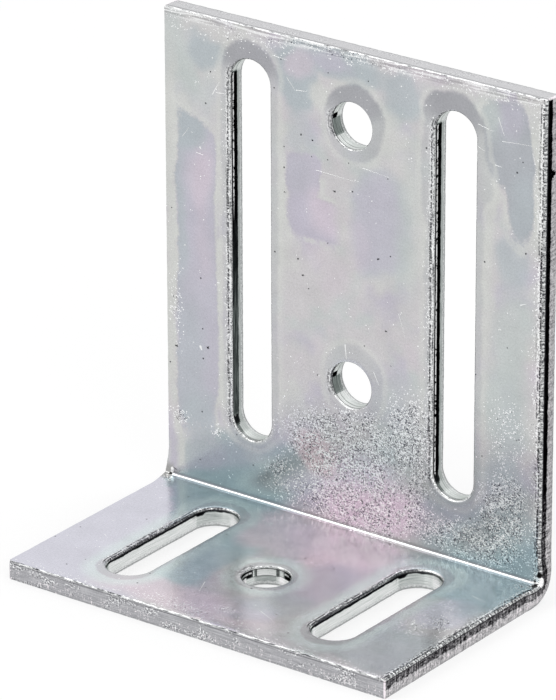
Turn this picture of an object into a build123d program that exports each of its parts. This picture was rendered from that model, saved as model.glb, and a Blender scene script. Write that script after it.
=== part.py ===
from build123d import *
import math
import os

# Adjustable angle bracket: one strip of steel, sheared to length, punched and folded square.
# X runs along the width, the base reaches towards -Y and Z is up. Sizes are in millimetres.
# The bracket is drawn from its heel, with the outer face of the upright at Y = 0, and is moved
# at the end so that the origin lies on the ground in the middle of the space it takes.

# The strip and its fold
width = 65.0
upright_height = 75.0
base_depth = 40.0
thickness = 3.0
inner_radius = 0.4
outer_radius = 5.0

# The swelling that the fold squeezes out of both sheared sides
swell_height = 0.5
swell_radius = 4.5

# A punched wall: the rolled entry edge, the straight land, then the torn part that leans away
rollover = 0.45
land = 1.8
tear_lean = 0.1

# Openings of the upright: heights are from the ground, margins from its top edge
upright_hole_d = 7.0
upper_hole_margin = 11.0
lower_hole_height = 25.0
upright_slot_width = 7.0
upright_slot_height = 12.0
upright_slot_margin = 5.0
upright_slot_spacing = 35.0

# Openings of the base: setbacks are from the outer face of the upright, margins from its front edge
base_hole_d = 7.0
base_hole_margin = 17.0
base_slot_width = 7.0
base_slot_setback = 8.0
base_slot_margin = 5.5
base_slot_spacing = 35.5

# Sizes that follow from the ones above
half_width = width / 2
tear = thickness - rollover - land
upper_hole_height = upright_height - upper_hole_margin
upright_slot_top = upright_height - upright_slot_margin
base_hole_setback = base_depth - base_hole_margin
base_slot_front = base_depth - base_slot_margin
upright_face = Plane((0, -thickness, 0), x_dir=(1, 0, 0), z_dir=(0, -1, 0))
base_face = Plane((0, 0, thickness), x_dir=(1, 0, 0), z_dir=(0, 0, 1))


def sag(radius):
    """How far a square fold's corner point is cut back along each axis."""
    return radius * (1 - math.sqrt(0.5))


def skin_line(depth, radius):
    """The side view of one skin, from the top of the upright to the front of the base."""
    top = (-depth, upright_height)
    upper = (-depth, depth + radius)
    middle = (-depth - sag(radius), depth + sag(radius))
    lower = (-depth - radius, depth)
    front = (-base_depth, depth)
    return Line(top, upper) + ThreePointArc(upper, middle, lower) + Line(lower, front)


def folded_strip(reach):
    """The folded strip with its two skins, square-ended, out to reach on both sides."""
    ends = Line((0, upright_height), (-thickness, upright_height))
    ends += Line((-base_depth, 0), (-base_depth, thickness))
    section = make_face(skin_line(0, outer_radius) + skin_line(thickness, inner_radius) + ends)
    return extrude(Plane.YZ * section, amount=reach, both=True)


def side_waste():
    """What the shear takes off at +X: a flat cut, hollowed over the fold by two arcs that meet smoothly."""
    far = upright_height + base_depth
    crown = half_width + swell_height
    outer = crown + 5.0
    halfway = ((crown + half_width) / 2, swell_radius / 2)
    edge = TangentArc((crown, 0), halfway, tangent=(0, 1))
    edge += TangentArc((half_width, swell_radius), halfway, tangent=(0, -1))
    edge += Polyline((half_width, swell_radius), (half_width, far), (outer, far), (outer, 0), (crown, 0))
    waste = revolve(Plane.XZ * make_face(edge), Axis.X, 360)
    fold = thickness + sag(inner_radius)
    return Pos(0, -fold, fold) * waste


def side_arris(shape, side, depth, radius):
    """The long edge where the sheared side at side * X meets one skin."""
    skin = Plane.YZ * skin_line(depth, radius)
    found = []
    for edge in shape.edges():
        spots = [edge @ 0, edge @ 0.5, edge @ 1]
        beyond = all(side * spot.X > half_width - 0.01 for spot in spots)
        if beyond and all(skin.distance_to(Vertex(0, spot.Y, spot.Z)) < 0.001 for spot in spots):
            found.append(edge)
    return found


def cross_arris(shape, y, z):
    """The edge that runs straight across the width at this place in the side view."""
    lines = shape.edges().filter_by(Axis.X)
    return lines.sort_by_distance(Vertex(0, y, z))[0]


def punch(outline, face):
    """One punch stroke through a face: the straight land, then the leaning tear."""
    stop = -rollover - land
    lean = math.degrees(math.atan(tear_lean / tear))
    straight = extrude(face * outline, amount=2.0) + extrude(face * outline, amount=stop)
    return straight + extrude(face.offset(stop) * outline, amount=-tear - 1.0, taper=-lean)


def slot(across, start, end, slot_width):
    """A slot that runs along the strip, between two places on the face."""
    outline = Rot(0, 0, 90) * SlotOverall(abs(end - start), slot_width)
    return Pos(across, (start + end) / 2) * outline


bracket = folded_strip(half_width + 1.0)
waste = side_waste()
bracket -= waste
bracket -= mirror(waste, Plane.YZ)

# The strip was sheared from its inner skin at +X, and from its outer skin at -X
bracket = fillet(
    side_arris(bracket, 1, thickness, inner_radius)
    + side_arris(bracket, -1, 0, outer_radius)
    + [cross_arris(bracket, -thickness, upright_height)]
    + [cross_arris(bracket, -base_depth, thickness)],
    rollover,
)

for side in (-1, 1):
    across = side * upright_slot_spacing / 2
    bracket -= punch(slot(across, upright_slot_height, upright_slot_top, upright_slot_width), upright_face)
    across = side * base_slot_spacing / 2
    bracket -= punch(slot(across, -base_slot_setback, -base_slot_front, base_slot_width), base_face)
for height in (lower_hole_height, upper_hole_height):
    bracket -= punch(Pos(0, height) * Circle(upright_hole_d / 2), upright_face)
bracket -= punch(Pos(0, -base_hole_setback) * Circle(base_hole_d / 2), base_face)

# Every punched opening has its rolled edge on the inner skin
entries = []
for face in bracket.faces().filter_by(GeomType.PLANE):
    for wire in face.inner_wires():
        spot = wire.edges()[0] @ 0.5
        if abs(spot.Y + thickness) < 0.001 or abs(spot.Z - thickness) < 0.001:
            entries += wire.edges()
bracket = fillet(entries, rollover)

bracket = Pos(0, base_depth / 2, 0) * bracket
bracket.label = "bracket_plate"
os.makedirs("parts", exist_ok=True)
export_step(bracket, "parts/bracket_plate.step")
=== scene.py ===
import bmesh
import bpy
import math
import numpy as np
from mathutils import Matrix, Vector, geometry, noise


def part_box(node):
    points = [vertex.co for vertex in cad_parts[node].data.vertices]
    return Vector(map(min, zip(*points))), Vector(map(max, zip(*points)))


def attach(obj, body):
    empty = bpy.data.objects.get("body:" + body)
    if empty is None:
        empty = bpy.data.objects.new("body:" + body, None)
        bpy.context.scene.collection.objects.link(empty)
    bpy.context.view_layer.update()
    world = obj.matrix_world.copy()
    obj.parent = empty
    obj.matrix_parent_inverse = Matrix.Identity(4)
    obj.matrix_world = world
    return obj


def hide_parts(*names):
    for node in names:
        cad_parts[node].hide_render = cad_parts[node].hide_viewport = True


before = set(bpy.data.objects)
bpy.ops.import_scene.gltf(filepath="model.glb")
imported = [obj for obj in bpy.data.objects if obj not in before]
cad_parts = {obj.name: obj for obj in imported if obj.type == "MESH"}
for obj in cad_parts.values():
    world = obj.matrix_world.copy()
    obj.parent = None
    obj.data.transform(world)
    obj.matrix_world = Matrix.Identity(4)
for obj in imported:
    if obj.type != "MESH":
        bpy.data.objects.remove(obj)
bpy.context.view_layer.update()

# Adjustable angle bracket: a folded, punched and zinc-plated steel plate.
# Lengths are in millimetres until a mesh is made, and MM turns them into metres.
MM = 0.001
NODE = "bracket_plate"
low, high = (np.array(corner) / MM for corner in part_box(NODE))

HALF_WIDTH = 32.5
HEIGHT = round(high[2], 2)
HEEL = round(high[1], 2)
FRONT = round(low[1], 2)
GAUGE = 3.0
INNER_R = 0.4
OUTER_R = 5.0
SWELL_H = 0.5
SWELL_R = 4.5
SWELL_FROM = 26.0  # how far across the swelling starts
ROLLOVER = 0.45
LAND = 1.8
TEAR_LEAN = 0.1
CORNER_R = 0.25
FILL_H = 0.18
FILL_R = 0.9
FILL_FROM, FILL_EASE = 1.7, 1.3  # from the sheared side inwards

# The strip laid flat: s runs from the top of the upright, over the fold, to the front of the base
FOLD_SPAN = 14.0
FOLD_TOP = HEIGHT - OUTER_R
FOLD_END = FOLD_TOP + FOLD_SPAN
BEND_Y = HEEL - OUTER_R
STRIP = FOLD_END + BEND_Y - FRONT
FOLD_ARC = 5.8  # the fold's length as the finish sees it
CROWDING = 0.6  # how far the rows crowd towards the middle of the fold
FOLD_LEAD = OUTER_R - GAUGE - INNER_R
FOLD_TURN = INNER_R * math.pi / 2


def along_upright(z):
    return HEIGHT - z


def along_base(y):
    return FOLD_END + BEND_Y - y


# Slots by place across, place of the middle in Z or Y and half the straight run; holes by place alone
OPENING_R = 3.5
SLOT_X, SLOT_Z, SLOT_HALF = 17.5, 41.0, 25.5
BASE_SLOT_X, BASE_SLOT_Y, BASE_SLOT_HALF = 17.75, -1.25, 9.75
HOLE_HEIGHTS = (25.0, 64.0)
BASE_HOLE_Y = -3.0

# Openings: centre across, centre along, half the straight run, radius
OPENINGS = []
for side in (-1, 1):
    OPENINGS.append((side * SLOT_X, along_upright(SLOT_Z), SLOT_HALF, OPENING_R))
    OPENINGS.append((side * BASE_SLOT_X, along_base(BASE_SLOT_Y), BASE_SLOT_HALF, OPENING_R))
for height in HOLE_HEIGHTS:
    OPENINGS.append((0.0, along_upright(height), 0.0, OPENING_R))
OPENINGS.append((0.0, along_base(BASE_HOLE_Y), 0.0, OPENING_R))


def noise_at(points, scale, seed=0.0):
    """Smooth noise between about -1 and 1 for an array of places."""
    out = np.empty(len(points))
    for i, p in enumerate(np.asarray(points, float) * scale):
        out[i] = noise.noise((p[0] + seed, p[1] - seed, p[2] + 0.5 * seed))
    return out


def fold_share(s):
    """How far round the fold s lies, from 0 to 1."""
    part = np.clip((s - FOLD_TOP) / FOLD_SPAN, 0, 1)
    return part + CROWDING * np.sin(2 * math.pi * part) / (2 * math.pi)


def skin_place(s, outer):
    """Side-view place on one skin at s along the strip."""
    part = fold_share(s)
    if outer:
        y = BEND_Y + OUTER_R * np.cos(part * math.pi / 2)
        z = OUTER_R - OUTER_R * np.sin(part * math.pi / 2)
    else:
        run = part * (2 * FOLD_LEAD + FOLD_TURN)
        angle = np.clip((run - FOLD_LEAD) / INNER_R, 0, math.pi / 2)
        y = BEND_Y + FOLD_LEAD + INNER_R * np.cos(angle) - np.clip(run - FOLD_LEAD - FOLD_TURN, 0, None)
        z = GAUGE + INNER_R + np.clip(FOLD_LEAD - run, 0, None) - INNER_R * np.sin(angle)
    return y - np.clip(s - FOLD_END, 0, None), z + np.clip(FOLD_TOP - s, 0, None)


def place(u, s, w):
    """The folded place of u across, s along the strip and w below its inner skin."""
    y_in, z_in = skin_place(s, False)
    y_out, z_out = skin_place(s, True)
    y = y_in + (y_out - y_in) * w / GAUGE
    z = z_in + (z_out - z_in) * w / GAUGE
    fold = GAUGE + INNER_R * (1 - math.sqrt(0.5))
    r = np.hypot(y - HEEL + fold, z - fold) / SWELL_R
    swell = SWELL_H * np.where(r < 0.5, 1 - 2 * r * r, 2 * np.clip(1 - r, 0, 1) ** 2)
    reach = np.clip((np.abs(u) - SWELL_FROM) / (HALF_WIDTH - SWELL_FROM), 0, 1) ** 2
    # The fold's inner corner fills out over its last millimetre and a half
    corner = np.exp(-(((y - HEEL + fold) ** 2 + (z - fold) ** 2) / FILL_R**2))
    grown = np.clip((np.abs(u) - HALF_WIDTH + FILL_FROM) / FILL_EASE, 0, 1) ** 2
    fill = FILL_H * corner * grown * (1 - w / GAUGE)
    return np.column_stack((u + np.sign(u) * swell * reach, y - fill, z + fill))


def rim_distance(u, s):
    """Distance from the nearest opening's wall, along the plate."""
    found = np.full(len(u), 1e3)
    for across, along, half, radius in OPENINGS:
        off = np.clip(np.abs(s - along) - half, 0, None)
        found = np.minimum(found, np.hypot(u - across, off) - radius)
    return found


def edge_distance(u, s):
    """Distance from the strip's own edge, along the plate."""
    return np.minimum(HALF_WIDTH - np.abs(u), np.minimum(s, STRIP - s))


# A cut wall's layers from its entry skin: the rolled edge, the straight land and the leaning tear
ROLL_STEPS = 5
LAND_END = ROLLOVER + LAND
roll_angles = [k * math.pi / 2 / ROLL_STEPS for k in range(ROLL_STEPS + 1)]
layer_depth = [ROLLOVER * (1 - math.cos(angle)) for angle in roll_angles]
layer_inset = [ROLLOVER * (1 - math.sin(angle)) for angle in roll_angles]
for depth in (0.6, 0.8, 1.05, 1.3, 1.55, 1.8, 2.05, LAND_END, 2.4, 2.55, 2.7, 2.88, GAUGE):
    layer_depth.append(depth)
    layer_inset.append(TEAR_LEAN * max(0.0, depth - LAND_END) / (GAUGE - LAND_END))
layer_depth = np.array(layer_depth)
layer_inset = np.array(layer_inset)
LAYERS = len(layer_depth)
COLUMN = 0.28  # width of a wall's columns


def run_points(start, end, normal):
    """Evenly spaced places on a straight run, its start included."""
    count = max(1, round(math.dist(start, end) / COLUMN))
    t = np.arange(count)[:, None] / count
    return np.array(start) + (np.array(end) - np.array(start)) * t, np.tile(normal, (count, 1))


def arc_points(centre, radius, begin, end, inward):
    """Evenly spaced places on an arc, its start included, with normals towards the metal."""
    count = max(4, round(abs(end - begin) * radius / (0.75 * COLUMN)))
    angle = begin + (end - begin) * np.arange(count) / count
    ray = np.column_stack((np.cos(angle), np.sin(angle)))
    return np.array(centre) + radius * ray, (-ray if inward else ray)


# Where the painted dark reflection band of the right-hand wall dips, from the top end, and half the dip's
# length
DENT_AT, DENT_HALF = 11.0, 0.8


def outline():
    """The strip's own edge, with the share of each column that was sheared from the outer skin."""
    x, top, front, r = HALF_WIDTH, 0.0, STRIP, CORNER_R
    quarter = math.pi / 2
    parts = [
        run_points((-x + r, top), (x - r, top), (0, 1)),
        arc_points((x - r, top + r), r, -quarter, 0, True),
        run_points((x, top + r), (x, front - r), (-1, 0)),
        arc_points((x - r, front - r), r, 0, quarter, True),
        run_points((x - r, front), (-x + r, front), (0, -1)),
        arc_points((-x + r, front - r), r, quarter, 2 * quarter, True),
        run_points((-x, front - r), (-x, top + r), (1, 0)),
        arc_points((-x + r, top + r), r, 2 * quarter, 3 * quarter, True),
    ]
    places, normals = map(np.vstack, zip(*parts))
    left = np.clip((-places[:, 0] - x + 1.2 * r) / r, 0, 1)
    ends = np.clip(np.abs(normals[:, 1]) * 1.5 - 0.3, 0, 1)
    short = x - r - np.abs(places[:, 0])
    long = np.minimum(places[:, 1], front - places[:, 1]) - r
    open_run = np.clip(np.maximum(np.clip(short, 0, None) * (long < 0), long * (short < 0)) / 0.9, 0, 1)
    top_end = ends * (places[:, 1] < 2 * r)
    right = np.clip(-normals[:, 0], 0, 1)
    corner = np.clip(4 * np.abs(normals[:, 0] * normals[:, 1]), 0, 1)
    base = places[:, 1] > FOLD_TOP + FOLD_SPAN / 2
    near_fold = np.clip((places[:, 1] - FOLD_TOP + 17) / 10, 0, 1)
    dent = np.clip(1 - np.abs(places[:, 1] - DENT_AT) / DENT_HALF, 0, 1)
    # The walls' painted reflection and shade: the right-hand side's band is painted near black, less so towards
    # the fold and at the corners
    look = (
        0.35 + 0.2 * right,
        np.where(base, 0.6, 0.62 + 0.38 * right * (1 - 0.7 * near_fold)) - corner,
        np.where(base, 0.2, 0.3) - corner,
        np.where(base, 1.45, 1.38 + 1.1 * right * dent),
    )
    return {
        "places": places,
        "normals": normals,
        "swapped": left * left * (3 - 2 * left),
        "look": np.column_stack(look),
        "ends": ends * np.where(top_end > 0, 0.5, 1.0),
        "open_run": open_run,
        "roll": 1.15 - 0.65 * top_end - 0.65 * (ends - top_end),
    }


def looks(angle, table, soft):
    """The painted reflection and shade of each column by the way it faces, with borders soft degrees wide
    between the rows.
    """
    found = np.zeros((len(angle), 4))
    for start, *values in table:
        share = np.clip((angle - start) / soft + 0.5, 0, 1)[:, None]
        found = found * (1 - share) + share * np.array(values)
    return found


# How a punched wall looks by the way it faces, in degrees from +X towards +Z or +Y, as painted reflection and
# shade: darkness of its rolled edge, of the front of its land, of the rest, and the depth where the front gives
# way
HOLE_LOOK = (
    (-180, 0.85, 0.3, 0.3, 1.2),
    (-150, 0.8, 0.1, 0.1, 1.2),
    (-75, 0.7, 0.02, 0.1, 1.6),
    (-16, 0.6, 1, 0.06, 1.5),
    (-3, 0.6, 0.52, 0.5, 1.2),
    (39, 0.15, -0.04, 0.02, 1.2),
    (120, 0.3, 0.1, 0.1, 1.2),
    (140, 0.8, 0.3, 0.3, 1.2),
)
SLOT_LOOK = (
    (-180, 0.7, 0.25, 0.25, 1.2),
    (-150, 0.7, 0.12, 0.08, 1),
    (-70, 0.55, 0.1, 0.02, 1.3),
    (-12, 0.3, 1, 0.3, 1.75),
    (12, 0.25, 0.85, 0.34, 1.5),
    (34, 0.2, 0.5, 0.22, 0.9),
    (58, 0.1, 0.15, 0.06, 0.7),
    (150, 0.7, 0.3, 0.3, 1.2),
)
BASE_SLOT_LOOK = (
    (-180, 0.5, 0.3, 0.3, 1.2),
    (-155, 0.3, 0.3, -0.15, 0.55),
    (-90, 0.5, 0.7, 0.04, 0.58),
    (-69, 0.6, 0.92, 0.16, 0.7),
    (-57, 0.65, 0.92, 0.22, 0.6),
    (-26, 0.6, 1, 0.2, 1),
    (-3, 0.85, 0.96, -0.12, 0.66),
    (14, 0.3, 0.5, 0.2, 0.8),
    (60, 0.15, 0.15, 0.1, 1),
    (150, 0.5, 0.3, 0.3, 1.2),
)
BASE_HOLE_LOOK = (
    (-180, 0.3, 0.3, 0.3, 1),
    (-155, 0.15, 1, -0.1, 1.5),
    (-97, 0.1, 0, -0.25, 1.4),
    (-83, 0.1, 0.88, 0.05, 1.5),
    (-76, 0.1, -0.02, 0.34, 1.5),
    (-30, 0.1, 0.8, 0.3, 1.5),
    (-24, 0.1, 0.02, 0.05, 1.5),
    (-18, 0.1, 1, 0.05, 1.5),
    (2, 0.15, 1, -0.25, 1.2),
    (45, 0.3, 0.3, 0.3, 1),
)
SLOT_SOFT, HOLE_SOFT = 9.0, 3.0  # degrees over which one look turns into the next


def opening(across, along, half, radius):
    """A hole's or slot's edge, with normals into the metal."""
    parts = []
    if half > 0:
        parts.append(run_points((across + radius, along - half), (across + radius, along + half), (1, 0)))
    parts.append(arc_points((across, along + half), radius, 0, math.pi, False))
    if half > 0:
        parts.append(run_points((across - radius, along + half), (across - radius, along - half), (-1, 0)))
    parts.append(arc_points((across, along - half), radius, math.pi, 2 * math.pi, False))
    places, normals = map(np.vstack, zip(*parts))
    zero = np.zeros(len(places))
    facing = np.degrees(np.arctan2(normals[:, 1], -normals[:, 0]))
    if along < FOLD_TOP:
        table = SLOT_LOOK if half > 0 else HOLE_LOOK
    else:
        table = BASE_SLOT_LOOK if half > 0 else BASE_HOLE_LOOK
    look = looks(facing, table, SLOT_SOFT if half > 0 else HOLE_SOFT)
    # The painted dark reflection on the left slot's right-hand wall grows lighter towards the fold
    if table is SLOT_LOOK and across < 0:
        lighter = np.clip((places[:, 1] - 22) / 22, 0, 1) * (np.abs(facing) < 12)
        look[:, 1] -= 0.34 * lighter
    return {
        "places": places,
        "normals": normals,
        "swapped": zero,
        "look": look,
        "ends": zero,
        "open_run": zero + 1,
        "roll": zero + (0.66 if half > 0 else 0.42),
    }


rng = np.random.default_rng(11)
vertices = []  # a row each: u, s, w, then place along the wall, depth from the entry skin, share of end
faces, face_wall, face_look, sharp_pairs = [], [], [], []
skin_loops = ([], [])
count = 0

for number, edge in enumerate([outline()] + [opening(*one) for one in OPENINGS]):
    places, normals, swapped, ends = edge["places"], edge["normals"], edge["swapped"], edge["ends"]
    columns = len(places)
    along = np.concatenate(([0.0], np.cumsum(np.hypot(*np.diff(places, axis=0).T))))
    # Each wall takes its noise from a place of its own
    key = np.column_stack((places, np.full(columns, 9.0 * number)))
    nick = noise_at(key, 0.9, 3.0) + 0.6 * noise_at(key, 2.3, 5.0)
    streak = rng.normal(0, 1, columns)
    reach = 0.22 * noise_at(key, 0.35, 8.0) + 0.12 * noise_at(key, 1.7, 2.0)
    inset = np.tile(layer_inset, (columns, 1))
    depth = np.tile(layer_depth, (columns, 1))

    # The rolled edge is larger and smaller by turns, and nicked here and there
    nick *= edge["open_run"]
    grow = edge["roll"] * (1 + 0.22 * nick) * (0.5 + 0.5 * edge["open_run"])
    hit = np.clip(nick - 0.62, 0, 1)[:, None]
    roll = slice(0, ROLL_STEPS + 1)
    depth[:, roll] *= grow[:, None]
    inset[:, roll] *= grow[:, None]
    inset[:, 1 : ROLL_STEPS + 1] += 0.22 * hit

    # The land ends in a wandering line, and carries faint streaks through the thickness
    share = np.sin(np.pi * np.clip((layer_depth - ROLLOVER) / (GAUGE - ROLLOVER), 0, 1))
    depth += share * reach[:, None] * (layer_depth > ROLLOVER)
    land = (layer_depth > ROLLOVER - 0.01) & (layer_depth <= LAND_END)
    inset[:, land] += 0.008 * streak[:, None]

    # The torn part is rough
    torn = layer_depth > LAND_END + 0.05
    for k in np.nonzero(torn)[0]:
        spot = np.column_stack((along, np.full(columns, layer_depth[k]), np.full(columns, 4.0 * number)))
        rough = 0.035 * noise_at(spot, 1.1, 1.0) + 0.02 * noise_at(spot, 3.1, 6.0)
        inset[:, k] = np.maximum(inset[:, k] + rough + 0.006 * streak, 0.0)

    # Rows run from the inner skin to the outer skin, whichever the shear came from
    other_inset, other_w = inset[:, ::-1], GAUGE - depth[:, ::-1]
    share = swapped[:, None]
    row_inset = inset * (1 - share) + other_inset * share
    row_w = depth * (1 - share) + other_w * share
    row_w[:, 0], row_w[:, -1] = 0.0, GAUGE
    row_depth = depth * (1 - share) + depth[:, ::-1] * share
    u = places[:, :1] + normals[:, :1] * row_inset
    s = places[:, 1:] + normals[:, 1:] * row_inset
    wall = (u, s, row_w, np.tile(along + 40.0 * number, (LAYERS, 1)).T, row_depth, np.tile(ends, (LAYERS, 1)).T)
    vertices.append(np.column_stack([part.T.ravel() for part in wall]))
    for k in range(LAYERS - 1):
        this, below = count + k * columns, count + (k + 1) * columns
        for j in range(columns):
            after = (j + 1) % columns
            faces.append((this + j, below + j, below + after, this + after))
            face_wall.append(1.0 if number else 2.0)
            face_look.append(edge["look"][j])
    skin_loops[0].append(list(range(count, count + columns)))
    skin_loops[1].append(list(range(count + (LAYERS - 1) * columns, count + LAYERS * columns)))
    for j in range(columns):
        after = (j + 1) % columns
        row = 0 if swapped[j] > 0.5 else LAYERS - 1
        sharp_pairs.append((count + row * columns + j, count + row * columns + after))
    count += LAYERS * columns

vertices = np.vstack(vertices)

# The skins' places: rings round every edge, at these distances and this close, then a grid
RING_OFFSETS, RING_STEP, GRID_GAP = (0.42, 0.95), 0.45, 0.4
INNER_GRID, OUTER_GRID = 0.55, 0.9


def inner_points(spread):
    """Places inside one skin: rings round every edge, then an even grid."""
    found = []

    def add(x, y):
        found.append(np.column_stack(np.broadcast_arrays(x, y)))

    for ring in RING_OFFSETS:
        off = ROLLOVER + ring
        for across, along, half, radius in OPENINGS:
            r = radius + off
            if half > 0:
                t = np.linspace(-half, half, round(2 * half / RING_STEP))
                for x in (across - r, across + r):
                    add(x, along + t)
            angle = np.linspace(0, math.pi, round(math.pi * r / RING_STEP) + 2)[1:-1]
            for way in (-1, 1):
                add(across + r * np.cos(angle), along + way * (half + r * np.sin(angle)))
        side = HALF_WIDTH - off
        t = np.linspace(-side, side, round(2 * side / RING_STEP))
        for y in (off, STRIP - off):
            add(t, y)
        t = np.linspace(off, STRIP - off, round((STRIP - 2 * off) / RING_STEP))[1:-1]
        for x in (-side, side):
            add(x, t)
    rings = np.vstack(found)
    across = np.linspace(-HALF_WIDTH, HALF_WIDTH, round(2 * HALF_WIDTH / spread) + 1)
    rows = [
        np.linspace(0, FOLD_TOP, round(FOLD_TOP / spread) + 1),
        np.linspace(FOLD_TOP, FOLD_END, round(FOLD_SPAN / spread) + 1)[1:],
        np.linspace(FOLD_END, STRIP, round((STRIP - FOLD_END) / spread) + 1)[1:],
    ]
    grid = np.array([(a, b) for b in np.concatenate(rows) for a in across])
    clear = np.minimum(edge_distance(*grid.T), rim_distance(*grid.T))
    return rings, grid[clear > ROLLOVER + RING_OFFSETS[-1] + GRID_GAP]


def inside(spot, ring):
    """Whether a place lies within a closed ring."""
    after = np.roll(ring, -1, axis=0)
    crosses = (ring[:, 1] > spot[1]) != (after[:, 1] > spot[1])
    one, two = ring[crosses], after[crosses]
    at = one[:, 0] + (spot[1] - one[:, 1]) * (two[:, 0] - one[:, 0]) / (two[:, 1] - one[:, 1])
    return np.count_nonzero(at > spot[0]) % 2 == 1


def add_skin(loops, w, spread):
    """Fills one skin between its outline and its openings."""
    global vertices
    border = np.concatenate(loops)
    rings, grid = inner_points(spread)
    flat = np.vstack((vertices[border, :2], rings, grid))
    edges, start = [], 0
    for loop in loops:
        n = len(loop)
        edges += [(start + j, start + (j + 1) % n) for j in range(n)]
        start += n
    got, _, tris, origin, _, _ = geometry.delaunay_2d_cdt([Vector(p) for p in flat], edges, [], 0, 1e-6)
    base = len(vertices)
    extra = np.zeros((len(flat) - len(border), 6))
    extra[:, :2], extra[:, 2] = flat[len(border) :], w
    vertices = np.vstack((vertices, extra))
    known, owner = {}, {}
    belongs = np.concatenate([np.full(len(loop), number) for number, loop in enumerate(loops)])
    for new, sources in enumerate(origin):
        first = sources[0]
        known[new] = int(border[first]) if first < len(border) else base + first - len(border)
        owner[new] = int(belongs[first]) if first < len(border) else -1
    for tri in tris:
        one, two, three = (owner[i] for i in tri)
        if one == two == three != -1:
            middle = sum((np.array(got[i]) for i in tri), np.zeros(2)) / 3
            if inside(middle, vertices[loops[one], :2]) != (one == 0):
                continue
        faces.append(tuple(known[i] for i in tri))
        face_wall.append(0.0)
        face_look.append((0.0, 0.0, 0.0, 0.0))


add_skin(skin_loops[0], 0.0, INNER_GRID)
add_skin(skin_loops[1], GAUGE, OUTER_GRID)
verts_u, verts_s, verts_w, *cut = vertices.T

# The plate dips a little towards every opening's rolled edge, and neither skin is quite flat
rim = np.clip(rim_distance(verts_u, verts_s), 0, None)
dip = 0.05 * np.exp(-((rim / 1.5) ** 2))
flat_key = np.column_stack((verts_u, verts_s, np.zeros(len(verts_u))))
wave = 0.035 * noise_at(flat_key, 0.05, 4.0) + 0.012 * noise_at(flat_key, 0.16, 7.0)
edge = edge_distance(verts_u, verts_s)
settle = np.clip(np.minimum(edge, np.abs(verts_s - FOLD_TOP - FOLD_SPAN / 2) - 6) / 5, 0, 1)
verts_w_real = verts_w + dip * (1 - verts_w / GAUGE) + wave * settle
solid = place(verts_u, verts_s, verts_w_real)

# Flat coordinates for the finish: v is 0 where the fold starts, up the upright and down the base
flat_v = np.where(verts_s <= FOLD_TOP, FOLD_TOP - verts_s, (FOLD_TOP - verts_s) * FOLD_ARC / FOLD_SPAN)
flat_v = np.where(verts_s <= FOLD_END, flat_v, -FOLD_ARC - (verts_s - FOLD_END))

# Tints of the clear passivation, by how thick it lies; pearl, sea, teal and slate also lay painted reflection
# and shade
TINTS = {
    "bare": (0.575, 0.56, 0.572),
    "cream": (0.6, 0.608, 0.59),
    "mint": (0.51, 0.555, 0.545),
    "blue": (0.44, 0.485, 0.51),
    "slate": (0.41, 0.432, 0.464),
    "teal": (0.388, 0.448, 0.465),
    "blush": (0.7, 0.62, 0.695),
    "lilac": (0.505, 0.482, 0.56),
    "pink": (0.625, 0.545, 0.615),
    "rose": (0.68, 0.565, 0.59),
    "pearl": (0.625, 0.622, 0.695),
    "sea": (0.45, 0.555, 0.59),
    "mauve": (0.725, 0.625, 0.68),
}
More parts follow.
